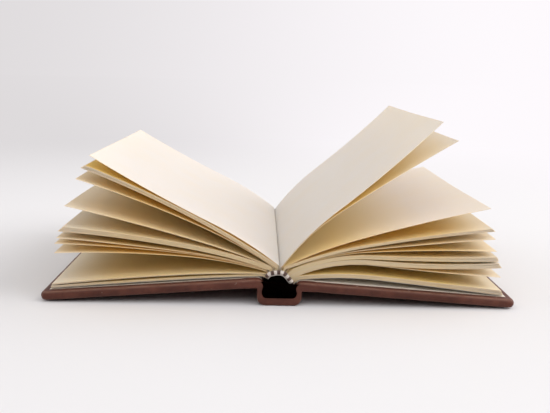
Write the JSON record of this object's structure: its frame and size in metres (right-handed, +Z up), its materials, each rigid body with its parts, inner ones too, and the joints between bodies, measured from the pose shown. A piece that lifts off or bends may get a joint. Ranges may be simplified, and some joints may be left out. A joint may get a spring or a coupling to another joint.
{
  "type": "blank book",
  "caption": "Open hardback blank book in a dark brown leather case, its cream leaves standing in a fan, with striped sewn bands and covers that hinge along the spine.",
  "frame": {"origin": "on the table, under the middle of the spine", "axes": "+X across the open book from front cover to back cover, +Y along the spine away from the reader, +Z up"},
  "size_m": [0.2292, 0.156, 0.0899],
  "materials": {
    "leaves": "uncoated",
    "endpaper": "uncoated",
    "lining": "open weave",
    "band": "brown and white thread",
    "leather": "fine grain, worn at the edges",
    "board": "raw grey board"
  },
  "bodies": {
    "book_block": {"text_block": "leaves", "front_flyleaf": "endpaper", "back_flyleaf": "endpaper", "spine_lining": "lining", "tail_band": "band", "head_band": "band", "spine_leather": "leather", "spine_board": "board"},
    "front_cover": {"front_board": "board", "front_cover_leather": "leather", "front_pastedown": "endpaper"},
    "back_cover": {"back_board": "board", "back_cover_leather": "leather", "back_pastedown": "endpaper"}
  },
  "joints": [
    {"name": "front_cover_hinge", "type": "hinge", "parent": "book_block", "child": "front_cover", "pos_m": [-0.01257, 0, 0.0099], "axis": [0, -1, 0], "range_deg": [0, 85]},
    {"name": "back_cover_hinge", "type": "hinge", "parent": "book_block", "child": "back_cover", "pos_m": [0.01257, 0, 0.0087], "axis": [0, 1, 0], "range_deg": [0, 85]}
  ]
}
